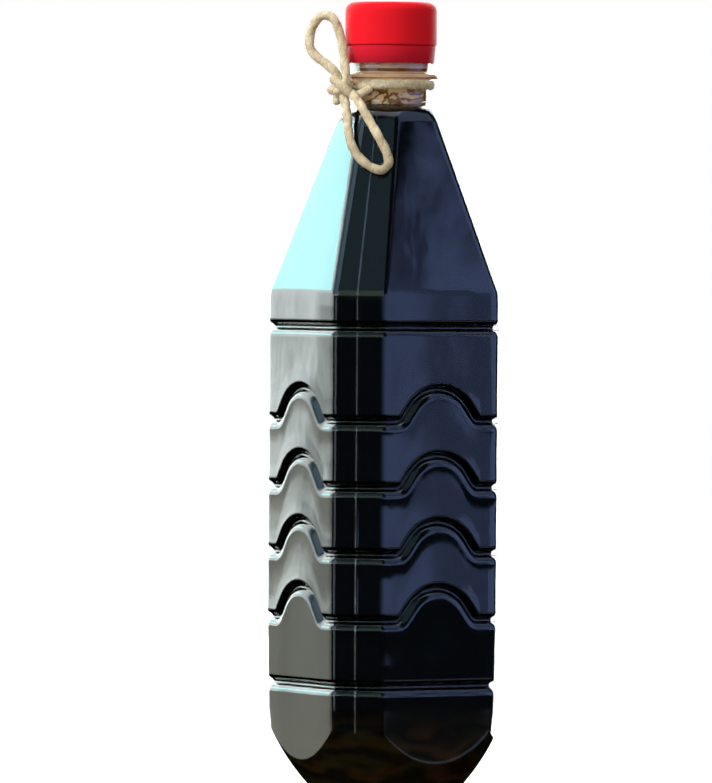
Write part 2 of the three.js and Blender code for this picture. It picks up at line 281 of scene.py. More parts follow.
def twine_mesh(path, seed, fibres):
    """Points and faces of a length of twine along a path, with so many loose fibres to a millimetre."""
    random = np.random.default_rng(seed)
    ahead, side, up = frames_along(path)
    length = TWINE_STEP * np.arange(len(path))
    angle = np.linspace(0, 2 * math.pi, TWINE_SIDES, endpoint=False)
    turn = 2 * math.pi * length / TWINE_LAY
    lobes = np.abs(np.cos(angle[None, :] - turn[:, None]))
    strands = np.sin(STRAND_COUNT * (angle[None, :] - STRAND_LAY * turn[:, None]) + STRAND_SWAY * lobes)
    stops = length[::WANDER_STEP]
    wander = np.interp(length, stops, random.normal(0, WIDTH_WANDER, len(stops)))
    radius = 1 - PLY_HOLLOW * (1 - lobes) ** PLY_ROUNDNESS + STRAND_RELIEF * strands + wander[:, None]
    radius = radius * TWINE_WIDTH / 2
    ends = np.ones(len(path))
    for i in range(END_ROWS):
        share = math.sqrt(1 - (1 - (i + 0.5) / END_ROWS) ** 2)
        ends[i] = share
        ends[-1 - i] = share
    radius = radius * ends[:, None]
    rings = (
        path[:, None, :]
        + radius[:, :, None] * np.cos(angle)[None, :, None] * side[:, None, :]
        + radius[:, :, None] * np.sin(angle)[None, :, None] * up[:, None, :]
    )
    points = [path[0] - ahead[0] * END_CROWN, *rings.reshape(-1, 3), path[-1] + ahead[-1] * END_CROWN]
    faces = skin_faces(len(path), TWINE_SIDES)
    for _ in range(int(fibres * length[-1])):
        row = random.integers(2, len(path) - 2)
        around = random.uniform(0, 2 * math.pi)
        out = math.cos(around) * side[row] + math.sin(around) * up[row]
        across = np.cross(ahead[row], out)
        lean = random.uniform(-1, 1) * ahead[row] + random.uniform(-0.7, 0.7) * across
        root = path[row] + out * TWINE_WIDTH * FIBRE_ROOT
        lift = random.uniform(0.25, 0.95)
        tip = root + out * (0.3 + lift) + lean * random.uniform(0.5, 1.7)
        middle = (root + tip) / 2 + out * FIBRE_ARCH
        thick = np.cross(lean + out, ahead[row] + 0.3 * across)
        thick = thick / np.linalg.norm(thick) * FIBRE_WIDTH / 2
        wide = np.cross(thick, tip - root)
        wide = wide / np.linalg.norm(wide) * FIBRE_WIDTH / 2
        first = len(points)
        for at, size in ((root, 1.0), (middle, 0.8)):
            heel = at - thick * size * 0.5
            points += [at + thick * size, heel + wide * size, heel - wide * size]
        points.append(tip)
        faces += tube_faces(2, 3, first)
        faces.append((first, first + 2, first + 1))
        faces += [(first + 3 + i, first + 3 + (i + 1) % 3, first + 6) for i in range(3)]
    return points, faces


def twine_finish():
    """Jute: pale straw, with patches and flecks of browner fibre. Painted shade darkens the twine below the
    knot, where the low loop hangs down and is lit less.
    """
    finish = Finish(bpy.data.materials.new("jute_twine"))
    where = finish.place()
    patches = finish.noise(where, 260, 3)
    fleck = finish.noise(finish.place((1, 1, 0.35)), 2400, 2)
    share = (patches * 1.2 + fleck * 0.8 - 0.5).step(0.1, 0.9)
    # Painted shade: below the knot the twine is mixed towards dark brown, as shade on the low loop.
    low_loop_shade = PAINTED_SHADE_SHARE - finish.height().step(*PAINTED_SHADE_UP_TO) * PAINTED_SHADE_SHARE
    colour = finish.blend(low_loop_shade, finish.blend(share, JUTE_SHADE, JUTE_LIGHT), JUTE_PAINTED_SHADE)
    height = fleck + finish.noise(where, 1100, 2) * 0.7
    return finish.surface({
        "Base Color": colour,
        "Roughness": 0.9,
        "Specular IOR Level": 0.25,
        "Sheen Weight": 0.25,
        "Sheen Roughness": 0.5,
        "Sheen Tint": JUTE_SHEEN,
        "Normal": finish.bump(height, 0.0004, 0.9),
    })


jute = twine_finish()
bow_turn = np.array(Matrix.Rotation(CAMERA_TURN, 3, "Z"))


def add_twine(name, node, points, seed, press=1.0, fibres=FIBRES_PER_MM):
    """A length of twine through points laid out as the camera sees them, turned to the bottle's own sides.

    press is the share of its thickness that it keeps where it is pulled tight against the neck.
    """
    path = smooth_path(points, TWINE_STEP) @ bow_turn.T
    points, faces = twine_mesh(path, seed, fibres)
    points = np.array(points)
    reach = np.hypot(points[:, 0], points[:, 1])
    points[:, :2] *= ((NECK_INSIDE + (reach - NECK_INSIDE) * press) / reach)[:, None]
    piece = add_piece(name, points, faces, jute)
    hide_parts(node)
    return piece, path


loop_up, upper_path = add_twine("bow_loop_up", "twine_loop_up", UPPER_LOOP, 11)
loop_down, lower_path = add_twine("bow_loop_down", "twine_loop_down", LOWER_LOOP, 12)
for loop, path in ((loop_up, upper_path), (loop_down, lower_path)):
    path[0] * MM
    path * MM
add_twine("bow_end_side", "twine_end_side", SIDE_END, 13, fibres=FRAYED_FIBRES_PER_MM)
add_twine("bow_end_low", "twine_end_low", LOW_END, 14, fibres=FRAYED_FIBRES_PER_MM)


# Turn round the neck. One turn of the same twine, pulled tight under the support ring and drawn down a little
# to the knot, with a low strand that comes out of the knot beside it. Both are pressed flat against the neck.
KNOT_AT = (-15.3, -8, 235)
KNOT_ANGLE = math.atan2(KNOT_AT[1], KNOT_AT[0])
WRAP_RADIUS = 14.1
WRAP_HEIGHT = 236.5
WRAP_DROP = 1.4
WRAP_DROP_SPAN = 0.3
WRAP_GAP = math.radians(4)
WRAP_PRESS = 0.64
LOW_STRAND = [
    (-14.0, -9.2, 233.0), (-12.2, -10.9, 232.9), (-10.2, -12.0, 233.4), (-8.4, -12.7, 234.4),
    (-6.6, -13.1, 235.6),
]

sweep = np.linspace(WRAP_GAP, 2 * math.pi - WRAP_GAP, 60)
near_knot = np.exp(-((np.minimum(sweep, 2 * math.pi - sweep) / WRAP_DROP_SPAN) ** 2))
wrap_points = np.stack([
    WRAP_RADIUS * np.cos(KNOT_ANGLE + sweep),
    WRAP_RADIUS * np.sin(KNOT_ANGLE + sweep),
    WRAP_HEIGHT - WRAP_DROP * near_knot,
], axis=1)
add_twine("neck_wrap", "twine_wrap", wrap_points, 15, press=WRAP_PRESS)
add_twine("neck_wrap_low", "twine_wrap", LOW_STRAND, 18, press=WRAP_PRESS)


# Knot. The same twine goes nearly twice round the feet of both loops and is pulled tight, with one strand
# across its front. A short run of it fills the middle, where the feet of the loops lie together.
KNOT_TURNS = 1.75
KNOT_START = 0.9
KNOT_COIL = 1.6
KNOT_PITCH = 2.1
KNOT_TILT = 0.35
FRONT_STRAND = [
    (-17.4, -6.9, 237.0), (-18.7, -7.7, 238.0), (-18.3, -9.5, 237.9), (-16.9, -10.9, 236.7),
    (-15.3, -11.5, 235.2), (-13.9, -11.2, 233.8), (-12.9, -10.0, 233.1), (-13.1, -8.6, 233.2),
]

knot_middle = (KNOT_AT[0] - 0.7, KNOT_AT[1] - 0.1, KNOT_AT[2] + 0.2)
turns = np.linspace(0, KNOT_TURNS * 2 * math.pi, 40)
knot_climb = KNOT_PITCH * (turns / (2 * math.pi) - KNOT_TURNS / 2)
knot_points = np.stack([
    knot_middle[0] + KNOT_COIL * np.cos(turns + KNOT_START),
    knot_middle[1] + KNOT_COIL * np.sin(turns + KNOT_START),
    knot_middle[2] + knot_climb + KNOT_TILT * np.cos(turns + KNOT_START),
], axis=1)
add_twine("bow_knot", "twine_knot", knot_points, 16, fibres=KNOT_FIBRES_PER_MM)
add_twine("bow_knot_front", "twine_knot", FRONT_STRAND, 19, fibres=KNOT_FIBRES_PER_MM)
core_points = [
    (KNOT_AT[0] - 0.9, KNOT_AT[1] - 0.6, KNOT_AT[2] + 3.2),
    (KNOT_AT[0] + 0.1, KNOT_AT[1] - 0.2, KNOT_AT[2] + 1.0),
    (KNOT_AT[0] + 0.1, KNOT_AT[1] - 0.5, KNOT_AT[2] - 1.2),
    (KNOT_AT[0] - 0.1, KNOT_AT[1] - 1.3, KNOT_AT[2] - 3.2),
]
add_twine("bow_knot_core", "twine_knot", core_points, 17)


# Bottle. Clear PET plastic, blown in a mould of two halves: the seam runs down the middle of two opposite
# corners. Four wave grooves and two straight ones stiffen the thin wall, and a dome of revolution cuts the
# square body off above the foot. The neck is thicker, with a support ring, a tamper bead and a thread.
HALF_WIDTH = 33.7
HALF_FACE = 21.6
EDGE_RADIUS = 4.5
WALL = 0.9
CORNER_SHARE = math.sqrt(2) - 1
SHOULDER_Z = 167.8
NECK_BASE_Z = 228.6
TOP_HALF_WIDTH = 15.3
TOP_HALF_FACE = 6.9
SHOULDER_BEND = 1.4
SHOULDER_ROUNDING = 1.2
NECK_ROUNDING = 3.0
NECK_ROUNDING_FROM = 0.93
NECK_ROUNDING_SPAN = 0.07
LEAST_ROUNDING = 0.35
STRAIGHT_GROOVES = (156.4, 38.6)
WAVE_GROOVES = (125.6, 103.8, 82.0, 60.2)
GROOVE_DEPTH = 1.75
UPPER_WALL = (1.5, 0.8, math.radians(55))
LOWER_WALL = (3.0, 0.8, math.radians(48))
FACE_CROWN = 0.15
PANEL_SAG = 0.12
SAG_REACH = 3.8
SAG_STEPS = (0.3, 0.9, 1.7, 2.7, 3.8, 5.0)
STRAIGHT_SAG_SHARE = 0.45
FOOT_TAPER = 0.019
ARCH_BEND_LIMITS = (-4.0, 2.6)
ARCH_HEIGHT = 10.5
ARCH_RADIUS = 13.1
FILLET_RADIUS = 3.0
ARCH_SLOPE = math.radians(54)
DOME_CENTRE_R = -27.3
DOME_CENTRE_Z = 53.4
DOME_RADIUS = 72.2
DOME_SOFTENING = 1.1
FOOT_OUTER_R = 21.6
FOOT_INNER_R = 19.0
FOOT_RISE = 0.7
PUSH_UP = 6.0
FLOOR = 1.2
ARC_STEPS = 8
SEAM_RELIEF = 0.14
SEAM_LOW_GAIN = 1.4
SEAM_LOW_Z = 110
SEAM_LOW_SPAN = 30
SEAM_STOPS = np.array([
    0.0, 0.22, 0.43, 0.444, 0.458, 0.472, 0.486, 0.5, 0.514, 0.528, 0.542, 0.556, 0.57, 0.78, 1.0,
])
SEAM_LIFT = np.array([0, 0, 0, 0, 0.15, 0.5, 0.85, 1.0, 0.85, 0.5, 0.15, 0, 0, 0, 0])
NECK_R = 12.7
BORE_R = 10.9
RING_Z = 238.2
RING_R = 16.5
RING_EDGE_R = 0.9
GAP_NECK_R = 13.3
BEAD_R = 13.6
BAND_Z = 243.6
CAP_Z = 249.5
LIP_Z = 262.0
THREAD_ROOT_R = 12.4
THREAD_HEIGHT = 1.1
THREAD_PITCH = 3.2
THREAD_TURNS = 1.8
THREAD_START = 1.8
THREAD_ROW_STEP = 0.32
CLEAR_PLASTIC = (0.94, 0.965, 0.96)


def arch_columns():
    """Places along a wave groove across one face, with the direction across it and the height there."""
    straight = ARCH_HEIGHT - (ARCH_RADIUS + FILLET_RADIUS) * (1 - math.cos(ARCH_SLOPE))
    straight = straight / math.sin(ARCH_SLOPE)
    foot = (ARCH_RADIUS + FILLET_RADIUS) * math.sin(ARCH_SLOPE) + straight * math.cos(ARCH_SLOPE)
    edge = HALF_FACE - EDGE_RADIUS * CORNER_SHARE
    half = [(-u, 0.0, 0.0) for u in np.linspace(edge, foot, 4, endpoint=False)]
    for turn in np.linspace(0, ARCH_SLOPE, 7):
        half.append((-foot + FILLET_RADIUS * math.sin(turn), FILLET_RADIUS * (1 - math.cos(turn)), turn))
    for turn in np.linspace(ARCH_SLOPE, 0, 13):
        half.append((-ARCH_RADIUS * math.sin(turn), ARCH_HEIGHT - ARCH_RADIUS * (1 - math.cos(turn)), turn))
    return half + [(-u, z, -turn) for u, z, turn in reversed(half[:-1])]


arch = np.array(arch_columns())
corner_count = 2 * ARC_STEPS + len(SEAM_STOPS) - 2
taper_line = np.tile(np.concatenate([arch[:, 1], np.zeros(corner_count)]) + min(WAVE_GROOVES), 4)


def ease(x):
    """A smooth rise from 0 to 1."""
    x = np.clip(x, 0, 1)
    return x * x * (3 - 2 * x)


def section_ring(half_width, half_face, inset, z, rounding=EDGE_RADIUS, across=0.0, wave=0.0, seam=1.0):
    """One ring of the bottle's section: four flat sides with chamfered corners.

    across moves it up or down from a groove's line, wave bends it over the groove's arch, and seam says
    whether the mould line shows on two of its corners.
    """
    tight = max(rounding - inset, LEAST_ROUNDING)
    a = half_width - inset
    f = half_face - inset * CORNER_SHARE
    edge = f - tight * CORNER_SHARE
    level = arch[:, 0] * edge / (HALF_FACE - EDGE_RADIUS * CORNER_SHARE)
    bend = min(max(across, ARCH_BEND_LIMITS[0]), ARCH_BEND_LIMITS[1])
    u = (1 - wave) * level + wave * (arch[:, 0] - bend * np.sin(arch[:, 2]))
    height = z + across + wave * (arch[:, 1] - bend * (1 - np.cos(arch[:, 2])))
    crown = FACE_CROWN * ((u / edge) ** 2 - 1)
    face = np.stack([u, crown - a, height], axis=1)
    centre_one = np.array([edge, -(a - tight)])
    centre_two = np.array([a - tight, -edge])
    swing = np.radians(np.linspace(-90, -45, ARC_STEPS + 1))[1:]
    arc_one = centre_one + tight * np.stack([np.cos(swing), np.sin(swing)], axis=1)
    arc_two = centre_two + tight * np.stack([-np.sin(swing[::-1]), -np.cos(swing[::-1])], axis=1)
    chamfer = arc_one[-1] + (arc_two[0] - arc_one[-1]) * SEAM_STOPS[1:-1, None]
    outward = np.array([1, -1]) / math.sqrt(2)
    low_gain = 1 + SEAM_LOW_GAIN * ease((SEAM_LOW_Z - z) / SEAM_LOW_SPAN)
    sides = []
    for side in range(4):
        relief = SEAM_RELIEF * seam * (side % 2) * low_gain
        lift = relief * SEAM_LIFT[1:-1, None]
        corner = np.concatenate([arc_one, chamfer + outward * lift, arc_two])
        corner = np.column_stack([corner, np.full(len(corner), z + across)])
        points = np.concatenate([face, corner])
        cosine = math.cos(side * math.pi / 2)
        sine = math.sin(side * math.pi / 2)
        spin = np.array([[cosine, -sine, 0], [sine, cosine, 0], [0, 0, 1]])
        sides.append(points @ spin.T)
    ring = np.concatenate(sides)
    below = np.clip(taper_line - ring[:, 2], 0, None)
    ring[:, :2] *= 1 - FOOT_TAPER / HALF_WIDTH * below[:, None]
    return ring


def wall_profile(lip, hollow, slope, fine):
    """Half a groove from its lip to its deepest line, rounded at both, as (way, depth), and its width."""
    straight = (GROOVE_DEPTH - (lip + hollow) * (1 - math.cos(slope))) / math.sin(slope)
    width = (lip + hollow) * math.sin(slope) + straight * math.cos(slope)
    half = [(lip * math.sin(t), lip * (1 - math.cos(t))) for t in np.linspace(0, slope, 3 + 4 * fine)]
    for t in np.linspace(slope, 0, 3 + 2 * fine):
        half.append((width - hollow * math.sin(t), GROOVE_DEPTH - hollow * (1 - math.cos(t))))
    return half, width


def sag(distance):
    """How far a panel has sunk at a distance from a groove's lip."""
    return PANEL_SAG * (1 - math.exp(-distance / SAG_REACH))


def groove_rows(deepest, wave, inset, fine, seam):
    """The rings of one groove and of the panels' edges beside it, from below to above."""
    lower, lower_width = wall_profile(*LOWER_WALL, fine)
    upper, upper_width = wall_profile(*UPPER_WALL, fine)
    steps = SAG_STEPS if fine else SAG_STEPS[:1]
    sunk = fine * (STRAIGHT_SAG_SHARE + (1 - STRAIGHT_SAG_SHARE) * wave)
    profile = [(-lower_width - d, sag(d) * sunk) for d in reversed(steps)]
    profile += [(way - lower_width, depth) for way, depth in lower]
    profile += [(upper_width - way, depth) for way, depth in reversed(upper[:-1])]
    sunk = sunk * (deepest > min(STRAIGHT_GROOVES))
    profile += [(upper_width + d, sag(d) * sunk) for d in steps]
    return [
        section_ring(HALF_WIDTH, HALF_FACE, inset + depth, deepest, across=across, wave=wave, seam=seam)
        for across, depth in profile
    ]


def dome_height(r):
    """How high the base's dome is at a distance from the axis."""
    return DOME_CENTRE_Z - np.sqrt(DOME_RADIUS**2 - (r - DOME_CENTRE_R) ** 2)


def dome_reach(z):
    """How far the base's dome is from the axis at a height."""
    return DOME_CENTRE_R + math.sqrt(DOME_RADIUS**2 - (DOME_CENTRE_Z - z) ** 2)


def round_ring(r, z, like):
    """A round ring in the same directions as another ring's points."""
    directions = like[:, :2] / np.linalg.norm(like[:, :2], axis=1)[:, None]
    return np.column_stack([directions * r, np.full(len(like), z)])


def base_rows(inset, foot, steps, seam):
    """The foot, and the dome up to the line where it meets the flat sides, which dips on each face."""
    top = section_ring(HALF_WIDTH, HALF_FACE, inset, 0, seam=seam)
    rows = [round_ring(r, z, top) for r, z in foot]
    lowest = foot[-1][1]
    reach = np.linalg.norm(top[:, :2], axis=1)
    meeting = dome_height(reach + inset)
    directions = top[:, :2] / reach[:, None]
    for step in np.linspace(0, 1, steps)[1:]:
        z = lowest + (meeting - lowest) * step
        r = DOME_CENTRE_R + np.sqrt(DOME_RADIUS**2 - (DOME_CENTRE_Z - z) ** 2) - inset
        rows.append(np.column_stack([directions * r[:, None], z]))
    rows.append(np.column_stack([top[:, :2], meeting + DOME_SOFTENING]))
    return rows


def shoulder_rows(inset, steps, seam):
    """The tapering shoulder, which bends over softly at its foot and is rounder at the neck."""
    rows = []
    slope = (HALF_WIDTH - TOP_HALF_WIDTH) / (NECK_BASE_Z - SHOULDER_Z)
    heights = [SHOULDER_Z - SHOULDER_BEND + 2 * SHOULDER_BEND * t for t in np.linspace(0, 1, 9)]
    heights += list(np.linspace(SHOULDER_Z + SHOULDER_BEND, NECK_BASE_Z, steps)[1:])
    for z in heights:
        over = z - (SHOULDER_Z - SHOULDER_BEND)
        if over < 2 * SHOULDER_BEND:
            drop = over**2 / (4 * SHOULDER_BEND)
        else:
            drop = z - SHOULDER_Z
        share = drop / (NECK_BASE_Z - SHOULDER_Z)
        width = HALF_WIDTH - slope * drop
        face = HALF_FACE + (TOP_HALF_FACE - HALF_FACE) * share
        rounding = EDGE_RADIUS + SHOULDER_ROUNDING * share
        rounding += NECK_ROUNDING * ease((share - NECK_ROUNDING_FROM) / NECK_ROUNDING_SPAN)
        rows.append(section_ring(width, face, inset, z, rounding=rounding + inset * 0.999, seam=seam))
    return rows


def body_rows(inset, foot, fineness, seam=1.0):
    """All rings from the foot to the top of the shoulder, at a distance inside the outer skin.

    fineness is 1 for the skin that shows and 0 for those inside it.
    """
    grooves = [(z, 0.0) for z in STRAIGHT_GROOVES] + [(z, 1.0) for z in WAVE_GROOVES]
    rows = base_rows(inset, foot, 10 + 6 * fineness, seam)
    for deepest, wave in sorted(grooves):
        rows += groove_rows(deepest, wave, inset, fineness, seam)
    return rows + shoulder_rows(inset + PANEL_SAG * fineness, 8 + 6 * fineness, seam)


def add_skin(name, rows, bottom, top, material, node):
    """A closed piece from rings and the heights of its two points on the axis."""
    points = np.concatenate([[[0, 0, bottom]], *rows, [[0, 0, top]]])
    piece = add_piece(name, points, skin_faces(len(rows), len(rows[0])), material)
    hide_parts(node)


def neck_rows(like):
    """Outside of the neck, from the shoulder to the lip."""
    profile = [(NECK_R + 1.1, NECK_BASE_Z + 0.25), (NECK_R + 0.45, NECK_BASE_Z + 0.7)]
    profile += [(NECK_R + 0.12, NECK_BASE_Z + 1.3), (NECK_R, NECK_BASE_Z + 2.1), (NECK_R, RING_Z - 0.4)]
    profile += [(NECK_R + 0.12, RING_Z - 0.08), (NECK_R + 0.5, RING_Z), (RING_R - 0.5, RING_Z + 0.05)]
    for turn in np.radians(np.linspace(-90, 90, 9)):
        out = RING_R - RING_EDGE_R + RING_EDGE_R * math.cos(turn)
        profile.append((out, RING_Z + 1.0 + RING_EDGE_R * math.sin(turn)))
    profile += [(RING_R - 1.6, RING_Z + 1.95), (GAP_NECK_R + 0.3, RING_Z + 2.1), (GAP_NECK_R, RING_Z + 2.35)]
    profile += [(GAP_NECK_R, BAND_Z + 0.6), (BEAD_R, BAND_Z + 1.4), (BEAD_R, BAND_Z + 2.4)]
    profile += [(THREAD_ROOT_R, BAND_Z + 4.2)]
    rows = [round_ring(r, z, like) for r, z in profile]
    round_share = np.arctan2(like[:, 1], like[:, 0]) % (2 * math.pi) / (2 * math.pi)
    for z in np.arange(CAP_Z - 0.6, LIP_Z - 0.9, THREAD_ROW_STEP):
        phase = (z - (CAP_Z + THREAD_START)) / THREAD_PITCH - round_share
        nearest = np.clip(np.round(phase), 0, 1)
        threaded = (nearest + round_share) <= THREAD_TURNS
        away = np.abs(phase - nearest) * THREAD_PITCH
        ridge = THREAD_HEIGHT * np.clip(1 - away / THREAD_HEIGHT, 0, 1) * threaded
        ring = round_ring(1.0, z, like)
        ring[:, :2] *= (THREAD_ROOT_R + ridge)[:, None]
        rows.append(ring)
    profile = [(THREAD_ROOT_R, LIP_Z - 0.8), (THREAD_ROOT_R - 0.1, LIP_Z - 0.3), (THREAD_ROOT_R - 0.4, LIP_Z)]
    return rows + [round_ring(r, z, like) for r, z in profile]


def inner_neck_rows(like):
    """Inside of the neck, from the shoulder up to the lip."""
    profile = [(BORE_R + 0.6, NECK_BASE_Z + 0.9), (BORE_R + 0.1, NECK_BASE_Z + 1.9)]
    profile += [(BORE_R, NECK_BASE_Z + 3), (BORE_R, RING_Z), (BORE_R, CAP_Z)]
    profile += [(BORE_R, LIP_Z - 0.4), (BORE_R + 0.15, LIP_Z)]
    return [round_ring(r, z, like) for r, z in profile]


def foot_profile(lift):
    """Underside from the middle out: the push-up, the ring that it stands on, and the turn up to the dome."""
    push_up = [(0.25, 0.97), (0.5, 0.82), (0.72, 0.52), (0.9, 0.2), (0.97, 0.05)]
    return [(FOOT_INNER_R * out, PUSH_UP * up + lift) for out, up in push_up] + [
        (FOOT_INNER_R, lift),
        (FOOT_OUTER_R, lift),
        (FOOT_OUTER_R + 0.5, 0.12 + lift),
        (dome_reach(FOOT_RISE), FOOT_RISE + lift * 0.9),
    ]


def clear_plastic():
    """Clear PET: hard gloss, a very slight unevenness of the blown wall, and a trace of blue-green."""
    finish = Finish(bpy.data.materials.new("clear_pet"))
    where = finish.place((1, 1, 0.55))
    swell = finish.noise(where, 34, 1)
    ripple = finish.noise(where, 95, 2)
    height = swell + ripple * 0.16
    return finish.surface({
        "Base Color": CLEAR_PLASTIC,
        "Roughness": 0.035,
        "IOR": 1.57,
        "Transmission Weight": 1.0,
        "Normal": finish.bump(height, 0.0005, 1.0),
    })


outer = body_rows(0.0, foot_profile(0.0), 1)
outer += neck_rows(outer[-1])
inner = body_rows(WALL, foot_profile(FLOOR), 0, seam=0.0)
inner += inner_neck_rows(inner[-1])
walls = outer + inner[::-1]
add_skin("clear_bottle", walls, PUSH_UP, PUSH_UP + FLOOR, clear_plastic(), "bottle")


# Molasses. Pomegranate juice boiled down to a syrup that is nearly black in this thickness and red-brown
# where it is thin. It fills the bottle up to the foot of the neck and wets the wall, so the piece reaches
# a little way into the plastic and leaves no gap.
WETTING = 0.25
LIQUID_Z = 229.0
SYRUP_DEEP = (0.0006, 0.0006, 0.0007)
# Painted glow: olive and brown stand in for the light that shines through the syrup at its foot.
SYRUP_GLOW_OLIVE = (0.0125, 0.0095, 0.0026)
SYRUP_GLOW_BROWN = (0.021, 0.009, 0.0016)
GLOW_UP_TO = (0.017, 0.035)
BANDS_PER_METRE = 800
BAND_WANDER = 22


def syrup():
    """Almost black syrup, with wavering olive and brown bands near the foot: a painted glow of the light that
    shines through the syrup there.
    """
    finish = Finish(bpy.data.materials.new("pomegranate_molasses"))
    height = finish.height()
    # Painted glow: the colour turns olive and brown in bands near the foot, as light shining through.
    low = 1 - height.step(*GLOW_UP_TO)
    wander = finish.noise(finish.place((1, 1, 2)), 45, 2)
    bands = (height * BANDS_PER_METRE + wander * BAND_WANDER).math("SINE") * 0.5 + 0.5
    tint = finish.blend(wander.step(0.42, 0.62), SYRUP_GLOW_OLIVE, SYRUP_GLOW_BROWN)
    return finish.surface({
        "Base Color": finish.blend(low * (bands * 0.6 + 0.25), SYRUP_DEEP, tint),
        "Roughness": 0.25,
        "IOR": 1.08,
    })


fill = body_rows(WALL - WETTING, foot_profile(FLOOR - WETTING), 0, seam=0.0)
for out, up in ((1.0, -0.25), (0.7, 0.15), (-0.6, -0.1), (-2.0, -0.2)):
    fill.append(round_ring(BORE_R + out, LIQUID_Z + up, fill[-1]))
add_skin("molasses_fill", fill, PUSH_UP + FLOOR - WETTING, LIQUID_Z - 0.2, syrup(), "molasses")


# Film and drips. The molasses wetted the inside of the neck as it was poured, ran down and dried there: a
# thin tan haze, with brown runs below the support ring. Its colour also holds painted light: a painted
# reflection of the red cap makes it pinker towards the cap, a brown line of painted shade lies above the
# support ring, and patches of painted shade lie on the side away from the key lamp.
FILM_FOOT_Z = 228.4
FILM_TOP_Z = 245.0
FILM_OUTER_R = BORE_R + 0.05
FILM_INNER_R = FILM_OUTER_R - 0.3
FILM_SIDES = 180
FILM_PALE = (0.66, 0.45, 0.23)
# Painted reflection of the red cap, which turns the film pink near its top.
FILM_CAP_REFLECTION = (0.78, 0.42, 0.32)
FILM_BROWN = (0.14, 0.047, 0.004)
RUNS_END = (0.2335, 0.2375)
CAP_REFLECTION_STARTS = (0.2380, 0.2420)
# Painted shade: a brown line just above the support ring stands in for the dark at the ring's top edge.
SHADE_LINE_STARTS = (0.2400, 0.2406)
SHADE_LINE_ENDS = (0.2414, 0.2419)
# Painted shade: the side of the neck away from the key lamp, which is darker.
SHADED_SIDE = (0.003, 0.0095)


def film_finish():
    """A tan haze with thin veins of brown, with painted shade as brown patches on the side away from the key
    lamp and as a brown line above the support ring, and a painted reflection of the red cap that turns it
    pink near the cap.
    """
    finish = Finish(bpy.data.materials.new("dried_film"))
    where = finish.place()
    height = finish.height()
    runs = finish.noise(finish.place((1, 1, 1.5)), 190, 3)
    veins = 1 - (runs - 0.5).math("ABSOLUTE").step(0.02, 0.075)
    # Painted shade: brown patches on the camera's right of the neck, away from the key lamp.
    side = finish.node("ShaderNodeVectorMath", {"operation": "DOT_PRODUCT"}, {0: where, 1: TO_RIGHT}, "Value")
    right_side_shade = side.step(*SHADED_SIDE) * runs.step(0.5, 0.56) * 0.7
    low = 1 - height.step(*RUNS_END)
    # Painted shade: a brown line just above the support ring.
    line = height.step(*SHADE_LINE_STARTS) * (1 - height.step(*SHADE_LINE_ENDS))
    brown = (veins.most(right_side_shade) * low).most(line)
    cloud = finish.noise(where, 190, 2)
    # Painted reflection: the film turns pink towards the cap, as the red cap's reflection.
    tan = finish.blend(height.step(*CAP_REFLECTION_STARTS), FILM_PALE, FILM_CAP_REFLECTION)
    pale = finish.blend(cloud.step(0.35, 0.7) * 0.35, tan, FILM_BROWN)
    return finish.surface({
        "Base Color": finish.blend(brown, pale, FILM_BROWN),
        "Roughness": 0.4,
        "IOR": 1.04,
    })


def lathe_rows(profile, sides):
    """Round rings from a section as (radius, height)."""
    angle = np.linspace(0, 2 * math.pi, sides, endpoint=False)
    return [np.column_stack([r * np.cos(angle), r * np.sin(angle), np.full(sides, z)]) for r, z in profile]


def add_open_ring(name, profile, sides, material):
    """A ring with a hole through it, from its section as (radius, height), all the way round the section."""
    points = np.concatenate(lathe_rows(profile, sides))
    faces = tube_faces(len(profile) + 1, sides)
    return add_piece(name, points, [tuple(i % len(points) for i in face) for face in faces], material)


film = add_open_ring("neck_film", [
    (FILM_INNER_R, FILM_FOOT_Z),
    (FILM_OUTER_R, FILM_FOOT_Z),
    (FILM_OUTER_R, FILM_TOP_Z),
    (FILM_INNER_R, FILM_TOP_Z),
], FILM_SIDES, film_finish())


# Cap and tamper band. Red moulded polypropylene, screwed down over the neck. The band is a separate ring
# under the cap, held to it by thin bridges until the first opening, and a little narrower than the skirt.
CAP_R = 15.2
CAP_INNER_R = 13.85
CAP_TOP_Z = 263.8
CAP_CORNER_R = 3.0
CAP_HOLLOW_Z = LIP_Z + 0.35
CAP_SIDES = 240
BAND_TOP_R = 14.9
BAND_R = 14.4
BAND_INNER_R = 13.98
BAND_TOP_Z = CAP_Z - 0.12
CAP_RED = (0.79, 0.012, 0.02)
BAND_RED = (0.58, 0.013, 0.03)
DEEP_RED = (0.62, 0.008, 0.02)


def red_plastic(name, colour, roughness):
    """Red plastic with a satin gloss and a faint cloudiness in its colour."""
    finish = Finish(bpy.data.materials.new(name))
    where = finish.place()
    cloud = finish.noise(where, 180, 2)
    grain = finish.noise(where, 2600, 1)
    return finish.surface({
        "Base Color": finish.blend(cloud * 0.35, colour, DEEP_RED),
        "Roughness": grain * 0.06 + roughness,
        "IOR": 1.1,
        "Normal": finish.bump(grain, 0.00003, 0.5),
    })


